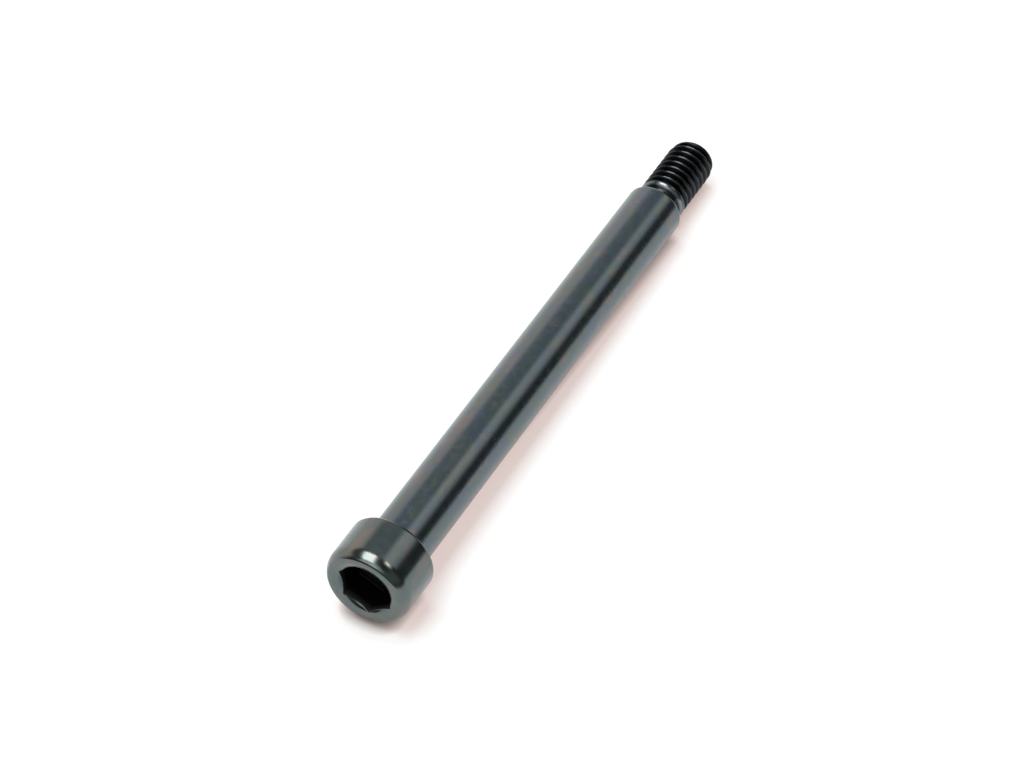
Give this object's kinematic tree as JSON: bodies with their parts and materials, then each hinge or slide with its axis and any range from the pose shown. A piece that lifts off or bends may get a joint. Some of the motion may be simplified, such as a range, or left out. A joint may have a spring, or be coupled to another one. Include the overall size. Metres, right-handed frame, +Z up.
{
  "type": "socket head shoulder bolt",
  "caption": "Long dark steel shoulder bolt with a rounded socket head, a smooth ground shoulder, a necked relief and a short coarse thread at its end.",
  "frame": {"origin": "on the surface that the bolt lies on, under the middle of its box", "axes": "+X along the bolt from its head to its thread, dipping 1.5 degrees because the head is wider than the shoulder; +Z up"},
  "size_m": [0.1088, 0.014, 0.0142],
  "materials": {
    "black_oxide_steel": "black oxide with a thin film of oil, satin on the ground shoulder and a little rougher on the thread"
  },
  "bodies": {
    "root": {"shoulder_bolt": "black_oxide_steel"}
  },
  "joints": []
}
